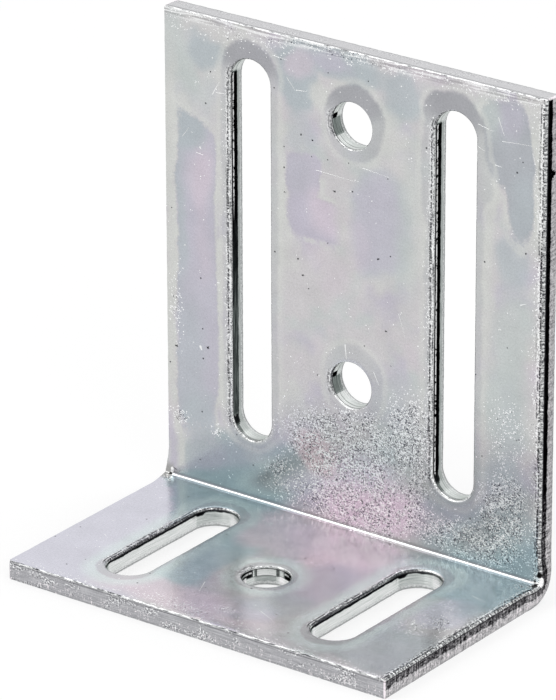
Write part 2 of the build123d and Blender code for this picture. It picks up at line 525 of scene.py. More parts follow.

# Stains, with some painted reflection and shade, laid on in this order, on the upright and then on the base:
# across, height or reach, half width, half height, turn in degrees, squareness, softness of the border in
# mm, tint and strength
GROUND = (
    (-27, 66, 6.5, 10, 0, 3, 3, "cream", 0.45),
    (-28.2, 65.5, 1.8, 4.4, 16, 2, 2, "mint", 0.8),
    (-25.4, 69.6, 3.4, 2.4, -8, 2, 1.6, "blue", 0.9),
    (-24.8, 63, 1.4, 4, 0, 2, 1.6, "mint", 0.45),
    (-23.6, 30, 0.8, 22, 0, 5, 0.7, "cream", 0.85),
    (-31.2, 69, 2, 6, 0, 2.5, 2, "mint", 0.7),
    (-4, 72.4, 10, 2.2, -2, 3, 1.2, "blue", 0.95),
    (-9, 68.6, 3.6, 5, 12, 2.5, 1.2, "blue", 0.95),
    (-8.6, 70.8, 2.6, 2.2, 0, 2, 1.8, "pink", 0.6),
    (-3.4, 72.4, 3.8, 1.5, -4, 2, 1.2, "lilac", 0.7),
    (-4.8, 66.8, 1.6, 2, 30, 2, 1.2, "cream", 0.9),
    (-8.4, 61, 2.2, 4, 0, 2, 2, "blue", 0.5),
    (-12.2, 50, 1.2, 12, 0, 4, 1, "cream", 0.6),
    (5, 50.5, 5, 7.4, 0, 3, 2, "blue", 0.6),
    (4.4, 50, 4, 6.8, 0, 3, 2, "lilac", 0.68),
    (9.2, 46, 2, 7, 0, 2, 2.4, "mint", 0.35),
    (1.2, 46.6, 2.2, 3, 0, 2, 2, "pink", 0.25),
    (8.8, 70.2, 3.2, 4, 0, 2, 2, "blue", 0.8),
    (6.8, 62.6, 2.6, 4, 20, 2, 2, "cream", 0.6),
    (10.4, 57.5, 1.8, 6, 0, 2, 2, "mint", 0.3),
    (22.8, 62, 1.1, 12, 4, 4, 0.8, "cream", 0.9),
    (23, 38, 0.9, 20, 0, 4, 1, "cream", 0.65),
    (31.1, 62, 1, 12, 0, 4, 0.8, "cream", 0.9),
    (27.4, 49.8, 2.6, 4.2, 0, 2.5, 1.8, "blue", 0.75),
    (27.2, 40, 3.2, 5, 0, 2.5, 2.4, "mint", 0.7),
    (26.4, 28, 3.6, 8.5, 0, 2.5, 2.8, "mint", 0.85),
    (27.6, 24, 2.2, 6, 0, 2, 2.4, "blue", 0.35),
    # The teal and slate rows near height 8, here and below, are passivation tint together with painted shade
    # darkening the upright towards the fold
    (-18, 7.6, 12.4, 5.6, 0, 3, 2.6, "teal", 0.95),
    (-26, 8.6, 3.6, 3.6, 0, 2, 2.2, "slate", 0.6),
    (-15.6, 9.8, 3, 1.6, 0, 2, 1.4, "mint", 0.55),
    (-30.6, 9.6, 0.8, 4.6, 0, 4, 0.6, "cream", 0.8),
    (-32.1, 8, 0.6, 6, 0, 4, 0.5, "lilac", 0.8),
    (10, 20, 6, 8.5, 0, 2.5, 3.2, "mint", 0.55),
    (20, 7.6, 9, 5.6, 0, 3, 2.8, "teal", 0.68),
    (28.4, 7.6, 4.6, 6.6, 0, 3, 2.4, "teal", 0.78),
    (26.5, 16, 4.4, 4.6, 0, 2, 3, "blue", 0.6),
    (2.4, 8.8, 9.6, 5.2, -3, 2.4, 3.2, "blush", 0.85),
    (-8, 6.4, 3.6, 2.6, 0, 2, 2.4, "lilac", 0.6),
    (-6.4, 12.4, 3.6, 2.6, -6, 2, 1.6, "rose", 0.85),
    (-31.8, 42, 1, 26, 0, 8, 0.5, "cream", 0.95),
)
BASE_GROUND = (
    # The pearl rows on the left and the sea rows, split along a line turned 37 degrees, are painted reflection
    # with tint laid in: pale where the base mirrors the sky, darker where it mirrors the upright
    (-27.5, -2, 7, 24, 0, 6, 1.8, "pearl", 1),
    (-20, -17, 11, 4.4, 0, 3, 2.2, "pearl", 0.85),
    (-20.2, 16, 9, 13, 37, 8, 0.7, "sea", 1),
    (-14, 10, 6, 10, 0, 3, 2.6, "sea", 0.9),
    (-10.5, -3, 4.6, 11, 0, 3, 2.6, "sea", 0.85),
    (-1.5, 10.2, 12.5, 7, 0, 3, 3, "mauve", 0.95),
    (6, 12.4, 4.4, 3.4, 0, 2, 2.6, "bare", 0.3),
    (-4.5, -15.6, 13.5, 3.6, 0, 3, 2.4, "mauve", 0.75),
    (4, -12.6, 5, 3.2, 0, 2, 2.4, "pearl", 0.65),
    (-2.6, -13.4, 5, 2.6, 0, 2, 2.2, "mauve", 0.6),
    (7.6, -0.5, 4.8, 7.6, 0, 2.5, 2.8, "lilac", 0.8),
    (7.2, -9, 4.6, 3.6, 0, 2, 2.6, "blue", 0.5),
    (25, 11.6, 10, 6.6, 0, 4, 2.6, "sea", 1),
    (13.4, 13.4, 3, 3, 0, 2, 2.4, "blue", 0.6),
    (27, 1.6, 4, 4.6, 0, 2, 2.6, "pearl", 0.85),
    (26.5, -12.5, 9, 6.6, 0, 3, 3, "blue", 0.65),
    (29.6, 6, 2.6, 3.4, 0, 2, 2, "sea", 0.5),
)

# The stains of the upright with a crisp tidemark: their shapes together, and the tints inside them
TIDEMARKS = (
    (-27, 36.6, 3.5, 25.2, 0, 8),
    (-8.2, 54.6, 2.9, 3.5, 0, 4),
    (-6.2, 48.6, 4.8, 3, -4, 4),
    (26.1, 67.2, 4, 6.4, 9, 4),
    (28, 60.6, 2.3, 7, 6, 2.2),
)
WITHIN = (
    (-26.9, 35.2, 6, 30, 0, 6, 0.5, "blue", 0.6),
    (-26.9, 35.2, 6, 30, 0, 6, 0.5, "lilac", 0.75),
    (-28.9, 57.6, 3.6, 3.4, 0, 2, 2.4, "blue", 0.9),
    (-30.4, 44, 1.2, 12, 0, 3, 1.6, "blue", 0.75),
    (-26, 49.6, 1.9, 5.6, 0, 2, 2.2, "pink", 0.65),
    (-25.8, 38.6, 1.6, 4.4, 0, 2, 2.2, "pink", 0.35),
    (-28.6, 22, 2.6, 8.6, 0, 2, 2.6, "blue", 0.55),
    (-26.6, 14.6, 3.4, 3.6, 0, 2, 2.6, "blue", 0.75),
    (-6, 51, 7, 8, 0, 6, 0.5, "lilac", 0.85),
    (-4.4, 49.6, 2.8, 3.4, 20, 2, 2.8, "pink", 0.62),
    (-0.2, 52, 2.6, 9, 0, 4, 2, "bare", 1),
    (-9.2, 54.6, 2.4, 3, 0, 2, 2, "slate", 0.3),
    (27.4, 64, 6, 12, 0, 6, 0.5, "slate", 0.9),
    (26.4, 71, 2.6, 3, 0, 2, 2, "lilac", 0.55),
    (23, 71.4, 1.8, 3.6, 9, 2, 1.8, "mint", 0.75),
    (28.6, 58, 2.4, 5, 0, 2, 2.4, "blue", 0.55),
)

# Where the grey rings reach further out from their openings, with how much further in mm
LINGERED = (
    (23.4, 61, 2.2, 3.6, 0, 2, 1.5),
    (22.6, 64.6, 1.6, 3, 0, 2, 0.5),
    (11.9, 60, 1.8, 6.5, 0, 3, 0.9),
    (13.2, 70.6, 2.2, 2.8, 0, 2, 0.9),
    (-22.3, 58, 1.2, 5, 0, 2, 0.4),
)

# Where the tidemarks have no crisp outline
FADED = (
    (1.5, 52, 4.6, 11, 0, 3),
    (-26, 8, 9, 7, 0, 4),
    (-5.2, 58, 4, 2.6, 0, 2),
)

# Where the salt-and-pepper speckle lies: across, height or reach, half sizes, turn and amount
SPECKLED = (
    (-1, 13.6, 13.5, 7.2, -6, 1),
    (4.5, 9, 12.5, 6.4, -4, 0.9),
    (10.8, 18, 5, 9, 8, 1),
    (3, 18.4, 9, 3.4, 0, 0.8),
    (26.4, 11.5, 5.8, 8.4, 0, 1),
    (21, 6.4, 11, 4, 0, 0.9),
    (27, 24, 4, 6, 0, 0.35),
    (31.6, 40, 0.8, 36, 0, 0.8),
    (-30.7, 29.6, 0.9, 4.8, 0, 0.8),
    (-30.2, 13.4, 1.6, 1.4, 0, 0.8),
    (-23.4, 12.2, 0.9, 1, 0, 0.8),
    (-12.5, 9, 2.4, 2.4, 0, 0.7),
    (-1, 6.2, 14.5, 4, 0, 0.85),
    (13.2, 36, 0.6, 26, 0, 0.5),
    (-21.6, 34, 0.5, 22, 0, 0.4),
    (0, 74.2, 34, 0.7, 0, 1),
    (-20, 73, 14, 1.4, 0, 0.3),
    (31.6, 4.6, 1.3, 1.6, 0, 1),
)
BASE_SPECKLED = (
    (31, 15.6, 1.6, 1.6, 0, 1),
    (-31.4, 15.8, 1, 1, 0, 1),
    (28.2, -0.7, 1.1, 5.5, 28, 0.9),
    (26.5, -3.6, 2.4, 4.2, 0, 0.4),
    (1.4, -14.4, 1.8, 1, 0, 0.9),
    (-2, -17.4, 11, 1.6, 0, 0.5),
    (0, -19.4, 33, 0.5, 0, 0.8),
    (32, -2, 0.5, 17, 0, 0.9),
)


def flat_place(height, where="upright"):
    """The flat coordinate v of a height on the upright or a reach on the base."""
    return height - OUTER_R if where == "upright" else height - BEND_Y - FOLD_ARC


def clouds(points, scale, octaves, seed):
    """Layered smooth noise, about -1 to 1."""
    out = np.zeros(len(points))
    for octave in range(octaves):
        out += noise_at(points, scale * 2**octave, seed + 3.1 * octave) / 1.8**octave
    return out


def ease(value, low, high):
    """Smooth step from low to high; low may be the larger."""
    share = np.clip((value - low) / (high - low), 0, 1)
    return share * share * (3 - 2 * share)


def within(at, across, height, half_wide, half_high, turn, square=2, where="upright"):
    """How far inside a rounded patch each place lies, in mm; square sets how boxy the patch is."""
    c, s = math.cos(math.radians(turn)), math.sin(math.radians(turn))
    x, y = at[:, 0] - across, at[:, 1] - flat_place(height, where)
    x, y = np.abs(c * x + s * y) / half_wide, np.abs(c * y - s * x) / half_high
    r = (x**square + y**square) ** (1 / square)
    return np.clip((1 - r) * min(half_wide, half_high), -9, 9)


def paint(base, tint, share):
    """Lays a tint over the colours of base."""
    share = share[:, None]
    return base * (1 - share) + np.array(TINTS[tint]) * share


def stain_or_shade(base, row, strength=1.0, where="upright"):
    """Paints one row of a table of stains, or of painted reflection and shade, over the colours of base."""
    *spot, soft, tint, share = row
    patch = ease(within(bent, *spot, where=where), -0.5 * soft, 0.5 * soft)
    return paint(base, tint, share * strength * patch)


# The finish as fields on the mesh: tints, tidemarks, distance from the rims, speckle and scuffs
spots = np.column_stack((verts_u, flat_v, verts_w))
inner_share = ease(verts_w, 2.2, 1.2)
bent = np.column_stack(
    (
        verts_u + 1.1 * clouds(spots, 0.13, 2, 1.0) + 0.35 * clouds(spots, 0.6, 2, 2.0),
        flat_v + 1.7 * clouds(spots, 0.13, 2, 11.0) + 0.45 * clouds(spots, 0.6, 2, 12.0),
    )
)
inside_skin = np.tile(TINTS["bare"], (len(spots), 1))
for tint, seed, share in (("mint", 71, 0.75), ("lilac", 75, 0.75), ("cream", 79, 0.8), ("pink", 83, 0.3)):
    inside_skin = paint(inside_skin, tint, share * ease(clouds(spots, 0.14, 4, seed), 0.0, 0.7))
outside_skin = inside_skin
for tint, seed, share in (("blue", 21, 0.7), ("teal", 25, 0.5), ("lilac", 29, 0.8), ("pink", 33, 0.6)):
    outside_skin = paint(outside_skin, tint, share * ease(clouds(spots, 0.06, 3, seed), 0.0, 0.7))
stained = inside_skin
base_share = ease(flat_v, -1.5, -4.0)
for row in GROUND:
    inside_skin = stain_or_shade(inside_skin, row, 1 - base_share)
for row in BASE_GROUND:
    inside_skin = stain_or_shade(inside_skin, row, base_share, "base")
for row in WITHIN:
    stained = stain_or_shade(stained, row)

# The tidemarks wander half as far, and the left one ends in a slanted line through this place
SLANT_X, SLANT_HEIGHT = -30.3, 60.6
bent = (bent + spots[:, :2]) / 2
ground = outside_skin * (1 - inner_share[:, None]) + inside_skin * inner_share[:, None]
tidemark = np.full(len(spots), -9.0)
for spot in TIDEMARKS:
    tidemark = np.maximum(tidemark, within(bent, *spot))
slanted = flat_place(SLANT_HEIGHT) - 0.5 * (bent[:, 0] - SLANT_X) - bent[:, 1]
tidemark = np.where(verts_u < -20, np.minimum(tidemark, 0.9 * slanted), tidemark)
tidemark -= 18 * (1 - inner_share)

# Distance from the nearest opening, for the rings that rinse water left, and how far above it
wobble = 0.3 * noise_at(spots, 0.3, 41.0) + 0.15 * noise_at(spots, 1.1, 43.0)
ring = np.full(len(spots), 9.0)
above = np.zeros(len(spots))
for across, along, half, radius in OPENINGS:
    upper = along < FOLD_TOP
    stale = upper and (half > 0 or along < 20)
    shift = 0.6 if upper and half == 0 else 0.0
    past = np.clip(np.abs(verts_s - along) - half, 0, None) * np.sign(along - verts_s)
    gap = np.hypot(verts_u - across - shift, past)
    top = past / (gap + 0.01)
    gap = gap - radius - 1.5 * np.clip(top, 0, 1) * upper
    if upper:
        gap += (0.45 if half > 0 else -0.35) * np.clip(-top, 0, 1)
    else:
        gap += 0.55 - 1.1 * np.abs(top) if half > 0 else 0.25
    nearest = gap < ring
    beside = 0.45 * np.clip((verts_u - across) / 4.0, 0, 1) * (half == 0)
    above = np.where(nearest, np.maximum(ease(top, -0.1, 0.8), beside) * stale, above)
    ring = np.where(nearest, gap, ring)
ring += wobble + 0.22 * noise_at(spots, 0.55, 47.0)
for *spot, wider in LINGERED:
    ring -= wider * ease(within(bent, *spot), -0.5, 1.0)
outlined = np.ones(len(spots))
for spot in FADED:
    outlined *= 1 - ease(within(spots[:, :2], *spot), -0.5, 1.5)

# How thick the speckle lies
thick = 0.12 * np.clip((clouds(spots, 0.45, 3, 51.0) - 0.35) / 0.8, 0, 1)
for where, rows in (("upright", SPECKLED), ("base", BASE_SPECKLED)):
    for *spot, amount in rows:
        soft = max(2.0, 0.7 * min(spot[2:4]))
        thick = np.maximum(thick, amount * ease(within(bent, *spot, where=where), -0.8, soft))
thick *= np.clip(0.7 + 0.9 * clouds(spots, 0.7, 3, 61.0), 0.06, 1) * (0.25 + 0.75 * inner_share)

# Scuffs run along the edges that face +X and along the top edge
scuff = ease(HALF_WIDTH - verts_u, 1.35, 0.8)
off_run = HALF_WIDTH - verts_u
for across, along, half, radius in OPENINGS:
    beside = (verts_u < across) * ease(np.abs(verts_s - along) - half, 2.6, 1.0)
    off = np.hypot(verts_u - across, np.clip(np.abs(verts_s - along) - half, 0, None)) - radius
    beside = beside * ease(off, 1.15, 0.55) * (1.0 if half > 0 else 0.7)
    off_run = np.where(beside > scuff, off, off_run)
    scuff = np.maximum(scuff, beside)
across_top = ease(verts_s, 2.0, 0.6)
run = np.where(across_top > scuff, verts_u, flat_v)
off_run = np.where(across_top > scuff, verts_s, off_run)
scuff = np.where(across_top > scuff, -across_top, scuff) * inner_share

# Distance along the inner skin from the middle of the fold's inner corner
crease = fold_share(verts_s) * (2 * FOLD_LEAD + FOLD_TURN) - FOLD_LEAD - FOLD_TURN / 2
crease += np.clip(verts_s - FOLD_END, 0, None) - np.clip(FOLD_TOP - verts_s, 0, None)

mesh = bpy.data.meshes.new("bracket_zinc")
mesh.from_pydata((solid * MM).tolist(), [], faces)
mesh.update(calc_edges=True)


def field(name, *columns, domain="POINT"):
    """Stores a number or three for each vertex or face, for the material to read."""
    kind, key = ("FLOAT", "value") if len(columns) == 1 else ("FLOAT_VECTOR", "vector")
    values = np.column_stack(columns).astype(np.float32)
    mesh.attributes.new(name, kind, domain).data.foreach_set(key, values.ravel())


roll_dark, front_dark, back_dark, border = np.array(face_look).T
field("on_wall", face_wall, domain="FACE")
field("strip", *spots.T)
field("cut", *cut)
field("ground", *ground.T)
field("stained", *stained.T)
field("rim", ring, above, tidemark)
field("scuff", run, off_run, scuff)
field("speckle", thick, crease, outlined)
field("look", roll_dark, front_dark, back_dark, domain="FACE")
field("look_split", border, domain="FACE")

# The torn arrises stay sharp and everything else is shaded smooth
pair = np.empty(len(mesh.edges) * 2, np.int64)
mesh.edges.foreach_get("vertices", pair)
pair = np.sort(pair.reshape(-1, 2), axis=1)
wanted = np.sort(np.array(sharp_pairs), axis=1)
big = len(verts_u) + 1
is_sharp = np.isin(pair[:, 0] * big + pair[:, 1], wanted[:, 0] * big + wanted[:, 1])
sharp_at = mesh.attributes.new("sharp_edge", "BOOLEAN", "EDGE")
sharp_at.data.foreach_set("value", is_sharp)
mesh.polygons.foreach_set("use_smooth", np.ones(len(mesh.polygons), bool))
mesh.validate(clean_customdata=False)

plate = bpy.data.objects.new("bracket_zinc", mesh)
bpy.context.scene.collection.objects.link(plate)

work = bmesh.new()
work.from_mesh(mesh)
bmesh.ops.recalc_face_normals(work, faces=work.faces)
work.to_mesh(mesh)
work.free()
print("bracket_zinc triangles", sum(len(p.vertices) - 2 for p in mesh.polygons))


def worked(operation):
    """The method of a value that adds one math node."""
    return lambda self, other=0.0: self.graph.math(operation, self, other)


class Value:
    """A value in a shader: arithmetic on it adds the nodes that work it out."""

    def __init__(self, graph, socket):
        self.graph, self.socket = graph, socket

    __add__, __sub__, __mul__ = worked("ADD"), worked("SUBTRACT"), worked("MULTIPLY")
    __truediv__, __gt__, __lt__ = worked("DIVIDE"), worked("GREATER_THAN"), worked("LESS_THAN")
    __abs__ = worked("ABSOLUTE")

    def span(self, low, high, to_low=0.0, to_high=1.0, **settings):
        """Straight ramp from low to high, held at both ends."""
        ends = {"Value": self, "From Min": low, "From Max": high, "To Min": to_low, "To Max": to_high}
        return self.graph.out("ShaderNodeMapRange", ends, **settings)

    def ease(self, low, high):
        """Smooth step from low to high."""
        return self.span(low, high, interpolation_type="SMOOTHSTEP")


class Graph:
    """Short calls that add shader nodes and return their values."""

    def __init__(self, tree):
        self.tree = tree

    def node(self, kind, inputs=(), **settings):
        made = self.tree.nodes.new(kind)
        for name, value in settings.items():
            setattr(made, name, value)
        for name, value in dict(inputs).items():
            self.feed(made.inputs[name], value)
        return made

    def out(self, kind, inputs=(), output=0, **settings):
        return Value(self, self.node(kind, inputs, **settings).outputs[output])

    def feed(self, socket, value):
        if isinstance(value, Value):
            self.tree.links.new(value.socket, socket)
        else:
            socket.default_value = value

    def field(self, name):
        return self.out("ShaderNodeAttribute", output="Vector", attribute_name=name)

    def number(self, name):
        return self.out("ShaderNodeAttribute", output="Fac", attribute_name=name)

    def math(self, operation, a, b=0.0, clamp=False):
        return self.out("ShaderNodeMath", {0: a, 1: b}, operation=operation, use_clamp=clamp)

    def largest(self, found, *others):
        for value in others:
            found = self.math("MAXIMUM", found, value)
        return found

    def vector(self, operation, a, b=(0, 0, 0)):
        output = "Value" if operation in ("LENGTH", "DOT_PRODUCT", "DISTANCE") else 0
        return self.out("ShaderNodeVectorMath", {0: a, 1: b}, output, operation=operation)

    def join(self, x, y, z=0.0):
        return self.out("ShaderNodeCombineXYZ", {0: x, 1: y, 2: z})

    def split(self, value):
        return [Value(self, part) for part in self.node("ShaderNodeSeparateXYZ", {0: value}).outputs]

    def ramp(self, value, stops):
        made = self.node("ShaderNodeValToRGB", {0: value})
        made.color_ramp.interpolation = "LINEAR"
        while len(made.color_ramp.elements) < len(stops):
            made.color_ramp.elements.new(0.5)
        for element, (at, colour) in zip(made.color_ramp.elements, stops):
            element.position = at
            element.color = (*colour, 1.0)
        return Value(self, made.outputs[0])

    def mix(self, share, a, b, blend="MIX"):
        """Colour a where share is 0, b where it is 1."""
        made = self.node("ShaderNodeMix", data_type="RGBA", blend_type=blend, clamp_factor=True)
        self.feed(made.inputs["Factor"], share)
        for name, value in (("A", a), ("B", b)):
            spot = [i for i in made.inputs if i.name == name and i.type == "RGBA"][0]
            self.feed(spot, value if isinstance(value, Value) else (*value, 1.0))
        return Value(self, [o for o in made.outputs if o.type == "RGBA"][0])

    def blend(self, share, a, b):
        """Number a where share is 0, b where it is 1."""
        return self.out("ShaderNodeMix", {0: share, 2: a, 3: b}, data_type="FLOAT", clamp_factor=True)

    def noise(self, place, scale, detail, rough):
        """Layered noise; a scale of two numbers stretches it."""
        if isinstance(scale, tuple):
            place, scale = self.vector("MULTIPLY", place, (*scale, 1.0)), 1.0
        sizes = {"Vector": place, "Scale": scale, "Detail": detail, "Roughness": rough}
        return self.out("ShaderNodeTexNoise", sizes)

    def cells(self, place, scale):
        """Voronoi cells: distance to the cell's point, and two random numbers of the cell."""
        made = self.node("ShaderNodeTexVoronoi", {"Vector": place, "Scale": scale}, voronoi_dimensions="2D")
        one, two, _ = self.split(Value(self, made.outputs["Color"]))
        return Value(self, made.outputs["Distance"]), one, two


def new_material(name):
    made = bpy.data.materials.new(name)
    made.use_nodes = True
    made.node_tree.nodes.clear()
    return made, Graph(made.node_tree)


# Scratches: start across and height or reach, end across and height or reach, half width
SCRATCHES = (
    (-24, 63.5, -22.8, 65.6, 0.07),
    (-23.4, 63.9, -21.2, 64.1, 0.05),
    (-0.97, 31, -0.75, 28.9, 0.1),
    (4, 28.1, 4.9, 26.3, 0.08),
    (-11, 68.8, -9.6, 67.2, 0.05),
    (-9.4, 67.3, -7.6, 67.5, 0.06),
    (-13.4, 71.6, -10.8, 71.4, 0.05),
    (24.6, 70.8, 25.6, 68.4, 0.06),
    (25.3, 67.5, 30.2, 67.9, 0.04),
    (24.2, 63.8, 25.2, 63.7, 0.06),
    (21.3, 69.1, 23.8, 68.6, 0.05),
    (21.1, 65.9, 22.4, 65.4, 0.06),
    (30.3, 66.8, 30.8, 65.3, 0.06),
    (-6, 56.2, 0.6, 56, 0.04),
    (2, 58.3, 6.8, 57.9, 0.04),
    (-29.4, 56, -28.2, 57.6, 0.04),
    (8.2, 38, 9.4, 34.6, 0.04),
    (28.6, 44.2, 29.6, 44.7, 0.07),
    (-26.5, 24.4, -26.3, 24, 0.22),
    (-26.3, 55, -26.15, 54.8, 0.14),
    (-26.9, 54.1, -25.7, 54, 0.06),
)
BASE_SCRATCHES = (
    (6, -12.6, 8.8, -13.8, 0.06),
    (27, 8.6, 29.6, 8, 0.06),
    (-5.8, -9.6, -4.6, -12.4, 0.05),
)

# Dark pits: across, height on the upright and radius; the crooked coordinates lie this much higher
CROOKED_LIFT = 1.4
PITS = (
    (-8.6, 61, 0.14),
    (-6.7, 60.6, 0.12),
    (-6.7, 58.1, 0.12),
    (-0.4, 58.6, 0.11),
    (-2.9, 53.8, 0.12),
    (-11.4, 51.7, 0.13),
    (-9.14, 42.2, 0.14),
    (-8.27, 39.9, 0.12),
    (-4, 45.8, 0.11),
    (4.66, 45.4, 0.13),
    (6.08, 34.9, 0.11),
    (6.97, 29.9, 0.12),
    (29.4, 52.1, 0.13),
    (-25.15, 24.7, 0.19),
    (-30.74, 23.6, 0.17),
)

# Blots at the ends of the fold's inner corner, the dark ones crushed metal and the near-white ones painted
# glints: place across, place along the crease, half sizes, turn, strength and tone
CRUSHED_AND_GLINTS = (
    (32.05, -0.3, 0.6, 0.85, 0, 0.95, 0.97),
    (32.1, -1.4, 0.55, 0.34, -55, 1, 0.01),
    (31.75, 0.6, 0.42, 0.62, 0, 1, 0.01),
    (31.4, -0.3, 0.2, 0.18, 0, 1, 0.03),
    (-31.45, -0.6, 0.26, 0.5, 0, 1, 0.97),
    (-31.6, 0, 0.24, 0.2, 0, 1, 0.02),
    (-30.9, 0.45, 0.6, 0.14, 0, 0.9, 0.05),
    (-31, -0.95, 0.36, 0.12, 20, 0.8, 0.15),
)

# Greys and tints of the cut walls by darkness: the rolled edge and the land, white for painted highlight and
# near black for painted dark reflection, and the torn part
ROLL_TONES = ((0.41, (0.07, 0.07, 0.08)), (0.49, (0.45, 0.46, 0.46)), (0.57, (0.93, 0.94, 0.94)))
LAND_TONES = (
    (0.05, (0.92, 0.91, 0.92)),
    (0.25, (0.69, 0.72, 0.705)),
    (0.44, (0.46, 0.49, 0.48)),
    (0.62, (0.2, 0.23, 0.22)),
    (0.78, (0.035, 0.04, 0.04)),
    (0.92, (0.004, 0.004, 0.005)),
)
TORN_TONES = ((0.38, (0.3, 0.3, 0.31)), (0.48, (0.66, 0.66, 0.67)), (0.58, (0.95, 0.96, 0.96)))
SALT, PEPPER = (0.97, 0.98, 0.98), (0.06, 0.06, 0.08)
RINSED = (0.62, 0.632, 0.61)


def scratch(g, at, start, end, half_wide):
    """A thin line between two places, thinning towards its end."""
    run = Vector(end) - Vector(start)
    off = g.vector("SUBTRACT", at, (*start, 0.0))
    share = g.vector("DOT_PRODUCT", off, (*(run / run.length_squared), 0.0))
    share = g.math("MULTIPLY", share, 1.0, clamp=True)
    near = g.out("ShaderNodeVectorMath", {0: (*run, 0.0), "Scale": share}, operation="SCALE")
    gap = g.vector("DISTANCE", off, near)
    return (gap / (share * (-0.6 * half_wide) + 1.3 * half_wide)).ease(1.0, 0.4)


zinc, g = new_material("zinc_passivated")
strip = g.field("strip")
on_wall = g.number("on_wall")
along, depth, strip_end = g.split(g.field("cut"))
ring, above, tidemark = g.split(g.field("rim"))
run, off_run, scuff = g.split(g.field("scuff"))
ground = g.field("ground")
stained = g.field("stained")
thick, crease, outlined = g.split(g.field("speckle"))
u, v, w = g.split(strip)
on_inner = w.ease(2.2, 1.2)
on_base = v.ease(-2.0, -4.0)
flat = g.join(u, v)

# The passivation's tints, with crisp tidemarks round the worst stains
mottle = g.noise(strip, 1.7, 4.0, 0.65) - 0.5
tide = mottle * 1.1 + tidemark
tint = g.mix(tide.ease(-0.3, 0.3), ground, stained)
tidal = tide.ease(-0.2, 0.06) * tide.ease(0.6, 0.1)
tint = g.mix(tidal * outlined * 0.08, tint, (0.3, 0.31, 0.34))
tidal = tide.ease(-1.3, -0.6) * tide.ease(-0.1, -0.35)
broken = g.noise(strip, 0.4, 2.0, 0.6).ease(0.4, 0.56)
tint = g.mix(tidal * outlined * (broken * 0.62), tint, RINSED)

# Rinse water held round each opening left a grey ring and then a pale one
rim = mottle * 0.7 + ring
pale_band = rim.ease(1.05, 1.5) * rim.ease(g.blend(on_base, 2.7, 4.2), g.blend(on_base, 1.7, 2.0))
pale = g.mix(on_base, RINSED, (0.68, 0.775, 0.76))
tint = g.mix(pale_band * g.blend(on_base, 0.5, 0.58), tint, pale)
ring_colour = g.mix(above - on_base * 0.9, (0.49, 0.505, 0.512), (0.36, 0.366, 0.388))
tint = g.mix(rim.ease(1.7, 0.8) * g.blend(above, 0.62, 0.92), tint, ring_colour)
cloud = g.noise(strip, 0.22, 4.0, 0.6).span(0.3, 0.7, 0.95, 1.05)
grain = g.noise(strip, 3.6, 3.0, 0.6).span(0.25, 0.75, 0.9, 1.1)
tone = cloud * grain
tint = g.mix(1.0, tint, g.join(tone, tone, tone), "MULTIPLY")

# The fold's inner corner: a painted highlight line with a painted shade line along each side, and mid grey
# painted over the highlight near the corner's ends
fold_shade = crease.ease(-0.75, -0.32) * crease.ease(0.6, 0.36)
tint = g.mix(fold_shade * 0.42 * on_inner, tint, (0.16, 0.15, 0.16))
from_middle = abs(u)
fold_end = from_middle.ease(31.0, 31.5) * abs(crease).ease(2.2, 0.8)
tint = g.mix(fold_end * on_inner, tint, (0.36, 0.36, 0.355))
fold_highlight = crease.ease(-0.13, -0.05) * crease.ease(0.2, 0.12) * from_middle.ease(31.5, 31.1)
tint = g.mix(fold_highlight * 0.85 * on_inner, tint, (0.8, 0.82, 0.83))

# Salt-and-pepper speckle, thick on the lower upright and thin elsewhere
near_gap, pick, pick_size = g.cells(flat, 4.5)
fine_gap, fine_pick, fine_size = g.cells(flat, 6.8)
dot = near_gap.ease(0.54, 0.42)
fine_dot = fine_gap.ease(0.6, 0.46)
clump = thick * mottle.span(-0.12, 0.1, 0.12, 1.0)
many = clump * 0.66
few = clump * 0.86 * thick.ease(0.15, 0.6)
bright = (many > pick) * dot
bright = g.largest(bright, (many > fine_pick) * fine_dot)
dark = (few > pick_size) * dot
dark = g.largest(dark, (few > fine_size) * fine_dot)

# Lone bright specks and dark pits, and the scratches
crooked = g.vector("ADD", flat, g.join(mottle * 1.2, grain * 1.5))
speck_gap, speck_pick, speck_size = g.cells(crooked, 0.55)
crowd = g.noise(strip, 0.16, 2.0, 0.6).span(0.42, 0.68, 0.965, 0.66)
speck = (speck_pick > crowd) * speck_gap.ease(speck_size.span(0.0, 1.0, 0.025, 0.075), 0.01)
pit_gap, pit_pick, pit_size = g.cells(g.vector("ADD", flat, (3.7, 1.3, 0.0)), 0.15)
pit = (pit_pick > 0.45) * pit_gap.ease(pit_size.span(0.0, 1.0, 0.018, 0.034), 0.008)
marks = 0.0
for where, rows in (("upright", SCRATCHES), ("base", BASE_SCRATCHES)):
    for x0, h0, x1, h1, half_wide in rows:
        start, end = (x0, flat_place(h0, where)), (x1, flat_place(h1, where))
        marks = g.largest(marks, scratch(g, flat, start, end, half_wide))
marks = marks * w.ease(2.0, 1.0)

skin_colour = g.mix(dark * 0.97, tint, PEPPER)
skin_colour = g.mix(bright * 0.95, skin_colour, SALT)
skin_colour = g.mix(g.largest(speck, marks * 0.9), skin_colour, (0.9, 0.91, 0.9))
for x, height, size in PITS:
    gap = g.vector("DISTANCE", crooked, (x, flat_place(height) + CROOKED_LIFT, 0.0))
    pit = g.largest(pit, gap.ease(1.2 * size, 0.8 * size))
skin_colour = g.mix(pit * on_inner, skin_colour, (0.03, 0.03, 0.035))

